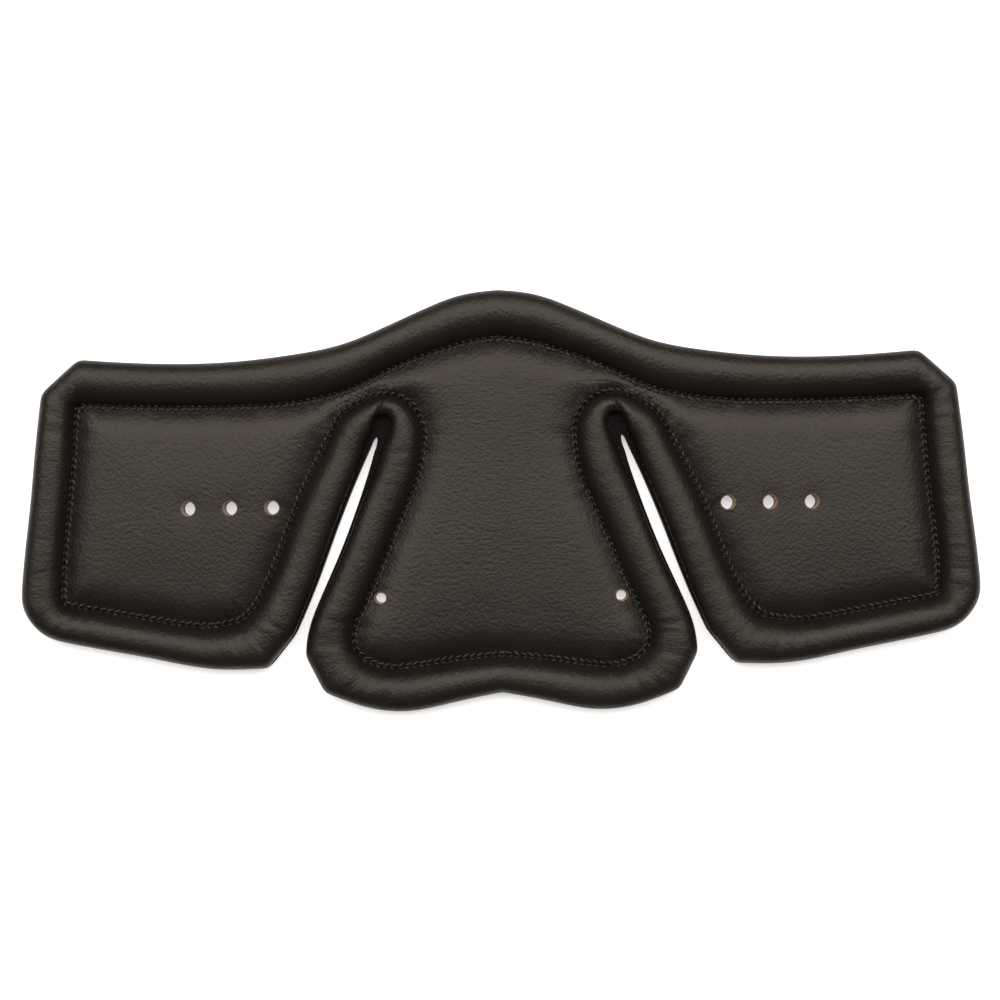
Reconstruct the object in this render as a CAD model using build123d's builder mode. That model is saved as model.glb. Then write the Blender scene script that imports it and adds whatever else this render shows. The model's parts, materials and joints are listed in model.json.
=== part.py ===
from build123d import *
import os
from math import cos, radians, sin

# Padded leather collar of a driving harness, lying on its lining with the padded face up.
# X runs from wing tip to wing tip, Y from the tongue to the arch, Z up from the surface.

# ---------------------------------------------------------------- driving sizes, mm
collar_length = 346.4        # wing tip to wing tip
collar_depth = 151.7         # top of the arch to the foot of the tongue

lining_thickness = 1.2       # soft leather against the surface
core_thickness = 3.5         # firm leather board that holds the shape
cover_thickness = 1.2        # soft leather of the padded face
roll_height = 6.6            # crest of the rolled rim above the flange of the cover
panel_height = 3.4           # flat top of the padded panels above the flange

wing_hole_diameter = 5.0
wing_hole_pitch = 15.0
wing_hole_count = 3
tongue_hole_diameter = 4.0

thread_thickness = 0.8       # seam that divides the roll from the panels
edge_thread_thickness = 0.6  # closing seam at the foot of the roll

fold_range = 45.0            # degrees that a wing folds up towards the padded face
fold_play = 0.3              # gap between the pieces of two bodies at the bend
fold_spare = 1.0             # degrees by which the relief at the bend is wider than the fold

# Shares of the rim's width, counted from the outer edge (0) to the valley seam (1).
edge_thread_band = (0.030, 0.075)
seam_thread_band = (0.975, 1.025)
panel_start = 1.05
pad_start = 1.12
pad_shift = 0.085            # how far the padding stands back from the outside of the roll
ring_overcut = 0.05          # share of the roll's height by which the valley's cut runs past the crest

# The rolled rim, from its foot on the flange up to the crest, outside and inside:
# share of the rim's width, share of the roll's height.
roll_outside = [(0.100, 0.0), (0.030, 0.36), (0.055, 0.62), (0.150, 0.84), (0.300, 0.96), (0.470, 1.0)]
panel_side = [(0.0, 0.0), (0.01, 0.45), (0.04, 0.85), (0.10, 1.0)]
roll_inside = [(0.530, 1.0), (0.700, 0.96), (0.850, 0.84), (0.930, 0.62), (0.955, 0.30), (0.955, 0.0)]

# ---------------------------------------------------------------- outline
# Each row pairs a point of the outer edge with the point of the valley seam across the rim
# from it. Rows are for the right half, drawn for the collar at drawn_length and drawn_depth.
drawn_length = 346.4
drawn_depth = 151.7
drawn_middle = 0.55          # the drawing's middle stands this far above its zero line

arch_to_neck = [
    ((0.0, 76.4), (0.0, 59.1)),
    ((14.4, 74.4), (11.8, 57.4)),
    ((24.6, 70.7), (19.8, 55.2)),
    ((34.4, 66.4), (27.8, 52.6)),
]
neck_to_shoulder = [
    ((34.4, 66.4), (27.8, 52.6)),
    ((45.5, 61.5), (39.6, 47.8)),
    ((57.0, 57.3), (53.0, 41.4)),
    ((72.1, 54.1), (70.0, 37.0)),
    ((100.9, 51.2), (100.9, 35.1)),
    ((129.7, 51.4), (129.7, 35.5)),
    ((151.2, 53.0), (150.6, 36.5)),
]
wing_side = [
    ((164.7, 40.9), (152.2, 34.8)),
    ((167.2, 20.0), (153.3, 19.0)),
    ((169.2, 0.0), (155.2, -1.5)),
    ((171.4, -18.0), (157.0, -18.0)),
    ((173.2, -37.5), (157.6, -33.8)),
]
wing_foot = [
    ((165.4, -47.4), (156.2, -35.6)),
    ((144.1, -51.7), (142.0, -38.1)),
    ((122.0, -56.0), (119.5, -42.1)),
    ((103.0, -59.3), (105.5, -43.7)),
    ((84.0, -59.2), (94.4, -41.8)),
]
slit_on_wing = [
    ((74.4, -47.2), (90.0, -38.2)),
    ((69.4, -36.0), (85.2, -30.2)),
    ((58.1, -6.8), (73.3, -0.6)),
    ((50.5, 11.5), (64.7, 17.4)),
    ((47.2, 18.7), (60.2, 26.6)),
]
slit_end = [
    ((47.2, 18.7), (60.2, 26.6)),
    ((46.3, 20.8), (56.3, 32.7)),
    ((45.4, 22.8), (50.8, 38.0)),
    ((44.3, 23.9), (42.5, 40.9)),
    ((44.0, 22.6), (33.6, 38.6)),
    ((44.4, 20.4), (28.4, 32.0)),
    ((45.2, 18.2), (26.7, 24.5)),
]
slit_on_tongue = [
    ((45.2, 18.2), (26.7, 24.5)),
    ((47.0, 12.0), (29.0, 11.0)),
    ((50.0, 3.0), (34.2, -2.4)),
    ((57.4, -16.6), (42.6, -22.4)),
    ((65.2, -34.2), (50.4, -39.6)),
    ((69.6, -46.0), (53.1, -46.8)),
    ((70.8, -54.8), (52.6, -52.8)),
]
tongue_foot = [
    ((64.1, -68.1), (48.6, -56.8)),
    ((50.5, -73.2), (41.5, -59.2)),
    ((36.0, -75.3), (32.4, -58.9)),
    ((18.0, -72.4), (18.0, -56.8)),
    ((0.0, -68.8), (0.0, -55.1)),
]
slit_top = (44.1, 24.0)
slit_bottom = (72.2, -47.4)
wing_hole_row = (97.0, -1.3)      # middle hole of the row
tongue_hole = (43.4, -34.2)


def placed(point):
    """The drawn point, moved with the collar's length and depth."""
    x, y = point
    return Vector(x * collar_length / drawn_length, (y - drawn_middle) * collar_depth / drawn_depth)


def across(row, share):
    """The point at this share of the rim's width."""
    edge, seam = placed(row[0]), placed(row[1])
    return edge + (seam - edge) * share


def mirrored(rows):
    """The same stretch on the left half, walked the other way."""
    return [((-e[0], e[1]), (-s[0], s[1])) for e, s in reversed(rows)]


def between(first, second):
    """The row halfway between two others."""
    (edge_a, seam_a), (edge_b, seam_b) = first, second
    edge = ((edge_a[0] + edge_b[0]) / 2, (edge_a[1] + edge_b[1]) / 2)
    seam = ((seam_a[0] + seam_b[0]) / 2, (seam_a[1] + seam_b[1]) / 2)
    return edge, seam


def corner(first, second):
    """The straight cut between the end of one stretch and the start of the next."""
    return [first[-1], second[0]]


right_half = [
    arch_to_neck,
    neck_to_shoulder,
    corner(neck_to_shoulder, wing_side),
    wing_side,
    corner(wing_side, wing_foot),
    wing_foot,
    corner(wing_foot, slit_on_wing),
    slit_on_wing,
    slit_end,
    slit_on_tongue,
    corner(slit_on_tongue, tongue_foot),
    tongue_foot,
]
whole_rim = right_half + [mirrored(rows) for rows in reversed(right_half)]

# Inside the seam the two ends of each straight cut meet in one corner.
shoulder = between(neck_to_shoulder[-1], wing_side[0])
wing_tip = between(wing_side[-1], wing_foot[0])
wing_heel = between(wing_foot[-1], slit_on_wing[0])
tongue_toe = between(slit_on_tongue[-1], tongue_foot[0])

right_panel = [
    neck_to_shoulder[2:-1] + [shoulder],
    [shoulder] + wing_side[1:-1] + [wing_tip],
    [wing_tip] + wing_foot[1:-1] + [wing_heel],
    [wing_heel] + slit_on_wing[1:],
    slit_end[:2],
    [slit_end[1], neck_to_shoulder[2]],
]
left_panel = [mirrored(rows) for rows in reversed(right_panel)]
tongue_half = [
    arch_to_neck,
    [arch_to_neck[-1], slit_end[4]],
    slit_end[4:],
    slit_on_tongue[:-1] + [tongue_toe],
    [tongue_toe] + tongue_foot[1:],
]
tongue_panel = tongue_half + [mirrored(rows) for rows in reversed(tongue_half)]
panels = (left_panel, tongue_panel, right_panel)

# ---------------------------------------------------------------- levels, from the surface up
core_bottom = lining_thickness
core_top = core_bottom + core_thickness
flange_top = core_top + cover_thickness
crest_top = flange_top + roll_height
bend_height = core_bottom + core_thickness / 2
drill_depth = 2 * crest_top


def outline(stretches, share, height):
    """The closed outline at this share of the rim's width, as a face at this height."""
    with BuildSketch(Plane.XY.offset(height)) as level:
        with BuildLine():
            for rows in stretches:
                points = [across(row, share) for row in rows]
                if len(points) == 2:
                    Line(*points)
                else:
                    Spline(*points)
        make_face()
    return level.sketch.face()


def band(shares, bottom, thickness):
    """A flat strip that follows the rim between two shares of its width."""
    outer, inner = shares
    with BuildPart() as strip:
        add(outline(whole_rim, outer, bottom))
        extrude(amount=thickness)
        add(outline(whole_rim, inner, bottom))
        extrude(amount=thickness, mode=Mode.SUBTRACT)
    return strip.part


def mound(profile, bottom, height):
    """The solid under a rolled profile: one outline for each step of the profile."""
    with BuildPart() as body:
        loft([outline(whole_rim, share, bottom + rise * height) for share, rise in profile], ruled=True)
    return body.part


def ring(outside, inside, bottom, height):
    """The rolled rim: the mound under its outer profile, without what lies inside the valley."""
    with BuildPart() as rim:
        add(mound(outside, bottom, height))
        opened = [(inside[0][0], 1.0 + ring_overcut)] + inside
        add(mound(opened[::-1], bottom, height), mode=Mode.SUBTRACT)
    return rim.part


def cushion(stretches, start, bottom, height):
    """A raised panel inside the valley seam, rounded towards its top."""
    with BuildPart() as pad:
        loft([outline(stretches, start + inset, bottom + rise * height) for inset, rise in panel_side], ruled=True)
    return pad.part


def padding(profile, shift):
    """The roll's profile moved inwards by the cover's share, most at the foot."""
    return [(share + shift * (1 - rise ** 2), rise) for share, rise in profile]


def holes(part, wings, tongue):
    """The piece with the fastening holes through all of it."""
    with BuildPart() as drilled:
        add(part)
        for side in (-1, 1):
            row = placed((side * wing_hole_row[0], wing_hole_row[1]))
            if wings:
                with Locations(row):
                    with GridLocations(wing_hole_pitch, 1, wing_hole_count, 1):
                        Hole(wing_hole_diameter / 2, depth=drill_depth)
            if tongue:
                with Locations(placed((side * tongue_hole[0], tongue_hole[1]))):
                    Hole(tongue_hole_diameter / 2, depth=drill_depth)
    return drilled.part


def bend(side):
    """The line that a wing folds about: its top point, its direction and the way to the wing."""
    top = placed((side * slit_top[0], slit_top[1]))
    bottom = placed((side * slit_bottom[0], slit_bottom[1]))
    along = (top - bottom).normalized()
    outward = Vector(side * along.Y, -side * along.X, 0)
    return top + Vector(0, 0, bend_height), along, outward


def relief(side, keep_wing):
    """The two planes that trim a piece beside the bend: upright below it, leaning away above it."""
    origin, along, outward = bend(side)
    away = outward if keep_wing else outward * -1
    angle = radians(fold_range / 2 + fold_spare)
    leaning = away * cos(angle) - Vector(0, 0, 1) * sin(angle)
    start = origin + away * (fold_play / 2)
    return Plane(start, z_dir=away), Plane(start, z_dir=leaning)


def wing_share(part):
    """What the right wing keeps of a layer."""
    with BuildPart() as piece:
        add(part)
        for plane in relief(1, True):
            split(bisect_by=plane, keep=Keep.TOP)
    return piece.part


def middle_share(part):
    """What the tongue and the arch keep of a layer."""
    with BuildPart() as piece:
        add(part)
        for side in (-1, 1):
            for plane in relief(side, False):
                split(bisect_by=plane, keep=Keep.TOP)
    return piece.part


# ---------------------------------------------------------------- the layers, each in one piece
with BuildPart() as lining_sheet:
    add(outline(whole_rim, 0, 0))
    extrude(amount=lining_thickness)

with BuildPart() as core_sheet:
    add(outline(whole_rim, 0, core_bottom))
    extrude(amount=core_thickness)

with BuildPart() as roll_padding:
    add(ring(padding(roll_outside, pad_shift), padding(roll_inside, -pad_shift), core_top, roll_height))

with BuildPart() as panel_padding:
    for stretches in panels:
        add(cushion(stretches, pad_start, core_top, panel_height))

with BuildPart() as cover_skin:
    add(outline(whole_rim, 0, core_top))
    extrude(amount=cover_thickness)
    add(ring(roll_outside, roll_inside, flange_top, roll_height))
    for stretches in panels:
        add(cushion(stretches, panel_start, flange_top, panel_height))
    add(roll_padding.part, mode=Mode.SUBTRACT)
    add(panel_padding.part, mode=Mode.SUBTRACT)

with BuildPart() as seam_line:
    add(band(seam_thread_band, flange_top, thread_thickness))

with BuildPart() as edge_line:
    add(band(edge_thread_band, flange_top, edge_thread_thickness))

layers = {
    "lining": holes(lining_sheet.part, True, True),
    "core": holes(core_sheet.part, True, True),
    "roll_padding": roll_padding.part,
    "panel_padding": holes(panel_padding.part, True, True),
    "cover": holes(cover_skin.part, True, True),
    "seam_thread": seam_line.part,
    "edge_thread": edge_line.part,
}

# ---------------------------------------------------------------- the pieces of each body
os.makedirs("parts", exist_ok=True)
for name, layer in layers.items():
    with BuildPart() as middle:
        add(middle_share(layer))
    with BuildPart() as right_wing:
        add(wing_share(layer))
    with BuildPart() as left_wing:
        mirror(right_wing.part, about=Plane.YZ)
    middle.part.label = f"middle_{name}"
    right_wing.part.label = f"right_wing_{name}"
    left_wing.part.label = f"left_wing_{name}"
    export_step(middle.part, f"parts/middle_{name}.step")
    export_step(right_wing.part, f"parts/right_wing_{name}.step")
    export_step(left_wing.part, f"parts/left_wing_{name}.step")

for side, name in ((-1, "left"), (1, "right")):
    origin, along, outward = bend(side)
    print(f"{name} bend: through {origin}, along {along}")
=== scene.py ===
# Padded harness collar: black nappa over a rolled rim and three puffed panels, on a tan leather core.
# Everything is in metres; the rim rows are in millimetres, stretched to the frame's own box.
import json
import math
import bpy
import numpy as np
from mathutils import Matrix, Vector
from mathutils.geometry import delaunay_2d_cdt


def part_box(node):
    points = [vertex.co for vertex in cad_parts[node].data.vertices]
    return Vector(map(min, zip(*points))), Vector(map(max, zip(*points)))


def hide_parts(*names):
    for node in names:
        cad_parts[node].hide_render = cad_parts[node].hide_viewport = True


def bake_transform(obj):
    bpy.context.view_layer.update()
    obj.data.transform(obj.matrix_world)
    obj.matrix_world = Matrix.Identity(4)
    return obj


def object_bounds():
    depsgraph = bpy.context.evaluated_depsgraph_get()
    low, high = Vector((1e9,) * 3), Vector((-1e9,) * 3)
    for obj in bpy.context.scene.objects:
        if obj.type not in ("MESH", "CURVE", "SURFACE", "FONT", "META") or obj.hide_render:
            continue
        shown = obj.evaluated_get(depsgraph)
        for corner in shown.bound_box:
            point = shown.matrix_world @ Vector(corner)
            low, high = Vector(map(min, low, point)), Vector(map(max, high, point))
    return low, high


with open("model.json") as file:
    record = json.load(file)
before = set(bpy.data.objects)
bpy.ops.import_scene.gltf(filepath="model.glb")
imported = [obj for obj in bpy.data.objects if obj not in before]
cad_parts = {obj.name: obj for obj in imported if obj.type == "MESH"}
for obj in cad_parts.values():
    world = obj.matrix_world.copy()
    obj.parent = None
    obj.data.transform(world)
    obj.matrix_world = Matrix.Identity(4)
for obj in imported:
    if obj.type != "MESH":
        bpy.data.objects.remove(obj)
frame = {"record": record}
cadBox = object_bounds()
mm = 0.001

# One row: edge x, edge y, seam x, seam y, where the roll's foot stands across the rim (0 edge, 1 seam).
rim = {
    "drawnLength": 346.4,
    "drawnDepth": 151.7,
    "drawnMiddle": 0.55,
    "stretches": [
        [(0.0, 76.4, 0.0, 59.1, 0.05), (14.4, 74.4, 11.8, 57.4, 0.05), (24.6, 70.7, 19.8, 55.2, 0.05),
         (34.4, 66.4, 27.8, 52.6, 0.05), (45.5, 61.5, 39.6, 47.8, 0.05), (57.0, 57.3, 53.0, 41.4, 0.05),
         (72.1, 54.1, 70.0, 37.0, 0.04), (100.9, 51.2, 100.9, 35.1, 0.04), (129.7, 51.4, 129.7, 35.5, 0.04),
         (151.2, 53.0, 150.6, 36.5, 0.05)],
        [(151.2, 53.0, 150.6, 36.5, 0.05), (164.7, 40.9, 152.2, 34.8, 0.05)],
        [(164.7, 40.9, 152.2, 34.8, 0.05), (167.2, 20.0, 153.3, 19.0, 0.05), (169.2, 0.0, 155.2, -1.5, 0.05),
         (171.4, -18.0, 157.0, -18.0, 0.05), (173.2, -37.5, 157.6, -33.8, 0.05)],
        [(173.2, -37.5, 157.6, -33.8, 0.05), (165.4, -47.4, 156.2, -35.6, 0.05)],
        [(165.4, -47.4, 156.2, -35.6, 0.05), (144.1, -51.7, 142.0, -38.1, 0.05),
         (122.0, -56.0, 119.5, -42.1, 0.05), (103.0, -59.3, 105.5, -43.7, 0.05),
         (84.0, -59.2, 94.4, -41.8, 0.05)],
        [(84.0, -59.2, 94.4, -41.8, 0.05), (74.4, -47.2, 90.0, -38.2, 0.06)],
        [(74.4, -47.2, 90.0, -38.2, 0.06), (69.4, -36.0, 85.2, -30.2, 0.08), (58.1, -6.8, 73.3, -0.6, 0.10),
         (50.5, 11.5, 64.7, 17.4, 0.12), (47.2, 18.7, 60.2, 26.6, 0.16)],
        [(47.2, 18.7, 60.2, 26.6, 0.16), (46.3, 20.8, 56.3, 32.7, 0.19), (45.4, 22.8, 50.4, 36.4, 0.20),
         (44.9, 23.5, 46.6, 38.3, 0.31), (44.3, 23.9, 42.4, 39.1, 0.53), (44.1, 23.4, 38.1, 39.0, 0.56),
         (44.0, 22.6, 33.8, 37.3, 0.50), (44.4, 20.4, 28.6, 31.6, 0.30), (45.2, 18.2, 26.9, 24.4, 0.20)],
        [(45.2, 18.2, 26.9, 24.4, 0.20), (47.0, 12.0, 29.0, 11.0, 0.17), (50.0, 3.0, 34.2, -2.4, 0.12),
         (57.4, -16.6, 42.6, -22.4, 0.10), (65.2, -34.2, 50.4, -39.6, 0.08), (69.6, -46.0, 53.1, -46.8, 0.06),
         (70.8, -54.8, 52.6, -52.8, 0.05)],
        [(70.8, -54.8, 52.6, -52.8, 0.05), (64.1, -68.1, 48.6, -56.8, 0.05)],
        [(64.1, -68.1, 48.6, -56.8, 0.05), (50.5, -73.2, 41.5, -59.2, 0.05), (36.0, -75.3, 32.4, -58.9, 0.05),
         (18.0, -72.4, 18.0, -56.8, 0.05), (0.0, -68.8, 0.0, -55.1, 0.05)],
    ],
    "edgeRound": 1.0,      # mm that the corners of the outer edge are eased over
    "tipRound": 3.6,       # the same at the lower wing tips
    "seamRound": 1.3,
    "tipFrom": (150.0, -22.0),     # the tips are beyond this x and below this y
    "slitEnd": (60.0, 10.0, 25.0),     # within this x, between these heights, the edge isn't eased
    "fine": 0.2,           # mm between the places that the rows are filled in at
    "footRound": 1.2,
}

cover = {
    "thickness": 1.2 * mm,
    "step": 0.8,           # mm between columns round the rim
    "grid": 1.05,          # mm between points on the panels
    # across the roll from its foot to the seam: share of the way, share of the height
    "roll": [(0.0, 0.0), (-0.030, 0.12), (-0.042, 0.28), (-0.035, 0.44), (-0.008, 0.60), (0.045, 0.745),
             (0.110, 0.855), (0.190, 0.935), (0.280, 0.982), (0.370, 1.0), (0.460, 0.995), (0.550, 0.965),
             (0.640, 0.905), (0.720, 0.820), (0.790, 0.710), (0.850, 0.575), (0.900, 0.430), (0.940, 0.285),
             (0.975, 0.150), (1.0, 0.060)],
    "fullWidth": 13.0,     # mm of roll that reach the full height
    "narrowest": 0.62,     # height of a very narrow roll
    "flangeRow": 0.55,     # where the flange has its middle row, as a share of the foot
    "puckerBase": 0.040,   # mm
    "puckerCorner": 0.24,
    "puckerSizes": (0.9, 2.6),     # mm along the rim, fine and wide
    "puckerSeed": 5,
    "puckerLoss": 0.6,     # share of the puckers that is missing beside the slits
    "bySlit": (72.0, -20.0, 41.5),     # mm, within this x and between these heights
    "gatherBlur": 3.5,
    "lumps": 0.10,
    "lumpSizes": (7.0, 12.0),
    "lumpSeed": 8,
    "foldWidth": 0.7,      # mm, the fold at the end of each slit
    "foldDepth": 1.3,
    "panelRise": 12.0,     # mm from the seam to the flat of a panel
    "panelLift": 0.3,      # mm over the padding's own top
    "relaxTurns": 14,
    "panelCrown": 0.5,
    "crownReach": (6.0, 22.0),     # mm from the seam to the crown's foot, and on to its top
    "panelPucker": (0.12, 0.45),   # share of the roll's stripes: everywhere, where gathered
    "panelFades": (3.4, 4.5, 5.0),     # mm that stripes, fine puckers and tightness run into a panel
    "finePucker": (0.8, 1.3),      # beside the seam: everywhere, where gathered
    "holeDip": 0.35,
    "holeRings": (0.0, 0.45, 1.1, 2.0),    # mm out from a hole's wall
    "ringPoints": 26,
    "neighbourColumns": 30,        # columns that are still the same stretch of seam
    "neighbourFade": 2.5,          # mm from the middle between two stretches
}

levels = {
    "lining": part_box("middle_lining")[0][2],
    "coreBottom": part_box("middle_core")[0][2],
    "coreTop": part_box("middle_core")[1][2],
    "flange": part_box("middle_seam_thread")[0][2],
    "crest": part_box("middle_cover")[1][2],
    "panel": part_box("middle_panel_padding")[1][2] + cover["thickness"],
}
sides = {"left": -1.0, "right": 1.0}
rollRows = np.array([(0.0, 0.0), (0.0, 0.0)] + cover["roll"])      # two rows of flange come first


def easeIn(share):
    return np.clip(share, 0, 1) ** 2 * (3 - 2 * np.clip(share, 0, 1))


def splineThrough(knots, values, places):
    # natural cubic spline through a few rows
    n = len(knots)
    gaps = np.diff(knots)
    if n == 2:
        share = ((places - knots[0]) / gaps[0])[:, None]
        return values[0] + (values[1] - values[0]) * share
    slopes = np.diff(values, axis=0) / gaps[:, None]
    system = np.eye(n)
    wanted = np.zeros_like(values)
    for i in range(1, n - 1):
        system[i, i - 1:i + 2] = gaps[i - 1], 2 * (gaps[i - 1] + gaps[i]), gaps[i]
        wanted[i] = 6 * (slopes[i] - slopes[i - 1])
    curls = np.linalg.solve(system, wanted)
    i = np.clip(np.searchsorted(knots, places) - 1, 0, n - 2)
    right = (places - knots[i])[:, None]
    left = (knots[i + 1] - places)[:, None]
    gap = gaps[i][:, None]
    curve = (curls[i] * left ** 3 + curls[i + 1] * right ** 3) / (6 * gap)
    curve = curve + (values[i] / gap - curls[i] * gap / 6) * left
    return curve + (values[i + 1] / gap - curls[i + 1] * gap / 6) * right


def blur(values, width, axis=0):
    # gaussian blur with the ends held
    if width <= 0:
        return values
    reach = int(3 * width) + 1
    kernel = np.exp(-0.5 * (np.arange(-reach, reach + 1) / width) ** 2)
    kernel /= kernel.sum()
    padding = [(0, 0)] * values.ndim
    padding[axis] = (reach, reach)
    padded = np.pad(values, padding, mode="edge")
    return np.apply_along_axis(lambda line: np.convolve(line, kernel, mode="valid"), axis, padded)


def mirrorBlur(points, width):
    # blur of a half rim's points, as if the other half went on past both ends
    reach = int(3 * width) + 2
    flip = np.array([-1.0, 1.0])
    before = points[1:reach + 1][::-1] * flip
    after = points[-reach - 1:-1][::-1] * flip
    return blur(np.concatenate([before, points, after]), width)[reach:-reach]


def stretchFactors():
    low, high = cadBox
    return ((high[0] - low[0]) / mm / rim["drawnLength"], (high[1] - low[1]) / mm / rim["drawnDepth"])


def rimColumns(step):
    # the right half's edge, seam and foot share at even steps along the roll, from arch to tongue
    scale = np.array(stretchFactors() * 2 + (1.0,))
    fine = []
    for rows in rim["stretches"]:
        table = np.array(rows, float)
        table[:, [1, 3]] -= rim["drawnMiddle"]
        table *= scale
        middles = (table[:, 0:2] + table[:, 2:4]) / 2
        knots = np.concatenate([[0], np.cumsum(np.linalg.norm(np.diff(middles, axis=0), axis=1))])
        places = np.linspace(0, knots[-1], max(int(knots[-1] / rim["fine"]), 4))
        fine.append(splineThrough(knots, table, places)[:-1])
    fine.append(table[-1:])
    fine = np.concatenate(fine)
    middles = fine[:, 0:2] * 0.45 + fine[:, 2:4] * 0.55
    along = np.concatenate([[0], np.cumsum(np.linalg.norm(np.diff(middles, axis=0), axis=1))])
    count = int(round(along[-1] / step))
    places = np.linspace(0, along[-1], count + 1)
    columns = np.stack([np.interp(places, along, fine[:, k]) for k in range(5)], axis=1)
    edge, seam, foot = columns[:, 0:2], columns[:, 2:4], columns[:, 4]
    easedEdge = mirrorBlur(edge, rim["edgeRound"] / step)
    tipX, tipY = rim["tipFrom"]
    tip = blur(((edge[:, 0] > tipX) & (edge[:, 1] < tipY)).astype(float), 3.0 / step)[:, None]
    easedEdge = easedEdge * (1 - tip) + mirrorBlur(edge, rim["tipRound"] / step) * tip
    reach, low, high = rim["slitEnd"]
    slitEnd = (edge[:, 1] > low) & (edge[:, 1] < high) & (edge[:, 0] < reach)
    keep = blur(slitEnd.astype(float), 4.0 / step)[:, None]
    edge = easedEdge * (1 - keep) + edge * keep
    seam = mirrorBlur(seam, rim["seamRound"] / step)
    foot = blur(foot, rim["footRound"] / step)
    edge[[0, -1], 0] = seam[[0, -1], 0] = 0
    return edge, seam, foot


def rollHeights(edge, seam, foot):
    # a narrow roll stands lower
    width = np.linalg.norm(seam - edge, axis=1) * (1 - foot)
    share = np.clip(width / cover["fullWidth"], 0, 1) ** 0.7
    return cover["narrowest"] + (1 - cover["narrowest"]) * share


def loopNoise(count, rows, fine, wide, seed):
    # stripes that run across a closed rim of count columns
    source = np.random.RandomState(seed)
    total = np.zeros((count, rows))
    for width, weight in ((fine, 1.0), (wide, 0.45)):
        field = source.normal(size=(count, rows))
        reach = int(4 * width) + 2
        field = np.concatenate([field[-reach:], field, field[:reach]])
        field = blur(blur(field, width), 0.16 * rows, axis=1)[reach:-reach]
        total += weight * field / field.std()
    return total / total.std()


def insideLoop(points, loop, batch=800):
    # even-odd test of many points against one closed loop
    ax, ay = loop[:, 0], loop[:, 1]
    bx, by = np.roll(ax, -1), np.roll(ay, -1)
    lean = (bx - ax) / np.where(by == ay, 1e-12, by - ay)
    found = []
    for start in range(0, len(points), batch):
        x, y = points[start:start + batch, 0:1], points[start:start + batch, 1:2]
        crosses = ((ay > y) != (by > y)) & (x < ax + (y - ay) * lean)
        found.append(crosses.sum(1) % 2 == 1)
    return np.concatenate(found)


def nearest(points, targets, batch=800):
    # distance to the nearest target, and which one it is
    distances, which = [], []
    for start in range(0, len(points), batch):
        part = points[start:start + batch]
        squares = (part[:, 0:1] - targets[:, 0]) ** 2 + (part[:, 1:2] - targets[:, 1]) ** 2
        which.append(squares.argmin(1))
        distances.append(np.sqrt(squares.min(1)))
    return np.concatenate(distances), np.concatenate(which)


def seamColumn(points, seam, which):
    # the place along the seam, in columns, that each point stands beside
    column, closest = which.astype(float), np.full(len(points), np.inf)
    for shift in (-1, 0):
        first = np.clip(which + shift, 0, len(seam) - 2)
        run = seam[first + 1] - seam[first]
        share = np.clip(((points - seam[first]) * run).sum(1) / np.maximum((run ** 2).sum(1), 1e-9), 0, 1)
        gap = np.linalg.norm(points - seam[first] - run * share[:, None], axis=1)
        column = np.where(gap < closest, first + share, column)
        closest = np.minimum(closest, gap)
    return column


def clearOfNeighbour(points, seam, which, away, batch=2000):
    # 0 midway between two stretches of the seam, 1 well clear of the middle
    veryFar = 99.0
    other = np.full(len(points), veryFar)
    columns = np.arange(len(seam))
    for start in range(0, len(points), batch):
        part = slice(start, start + batch)
        apart = np.linalg.norm(points[part, None] - seam[None], axis=2)
        elsewhere = np.abs(columns[None] - which[part, None]) > cover["neighbourColumns"]
        other[part] = np.where(elsewhere, apart, veryFar).min(axis=1)
    return easeIn((other - away) / cover["neighbourFade"])


def halfHoles():
    # centre and radius, in mm, of the fastening holes on the right half
    found = set()
    for mount in frame["record"]["mounts"]:
        if mount["kind"] != "bolt_pattern":
            continue
        dims, (x, y) = mount["dims"], mount["pos_m"][:2]
        for k in range(dims["count"]):
            hole = x / mm + (k - (dims["count"] - 1) / 2) * dims["spacing_x_mm"]
            if hole > 1:
                found.add((round(hole, 3), round(y / mm, 3), dims["hole_r_mm"]))
    return sorted(found)


def holeRings(holes):
    # rings of points round each hole, the first of them on its wall
    steps = cover["ringPoints"]
    for x, y, radius in holes:
        for extra in cover["holeRings"]:
            turn, wide = np.linspace(0, 2 * math.pi, steps, endpoint=False) + extra, radius + extra
            yield extra == 0, np.stack([x + wide * np.cos(turn), y + wide * np.sin(turn)], axis=1)


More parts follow.
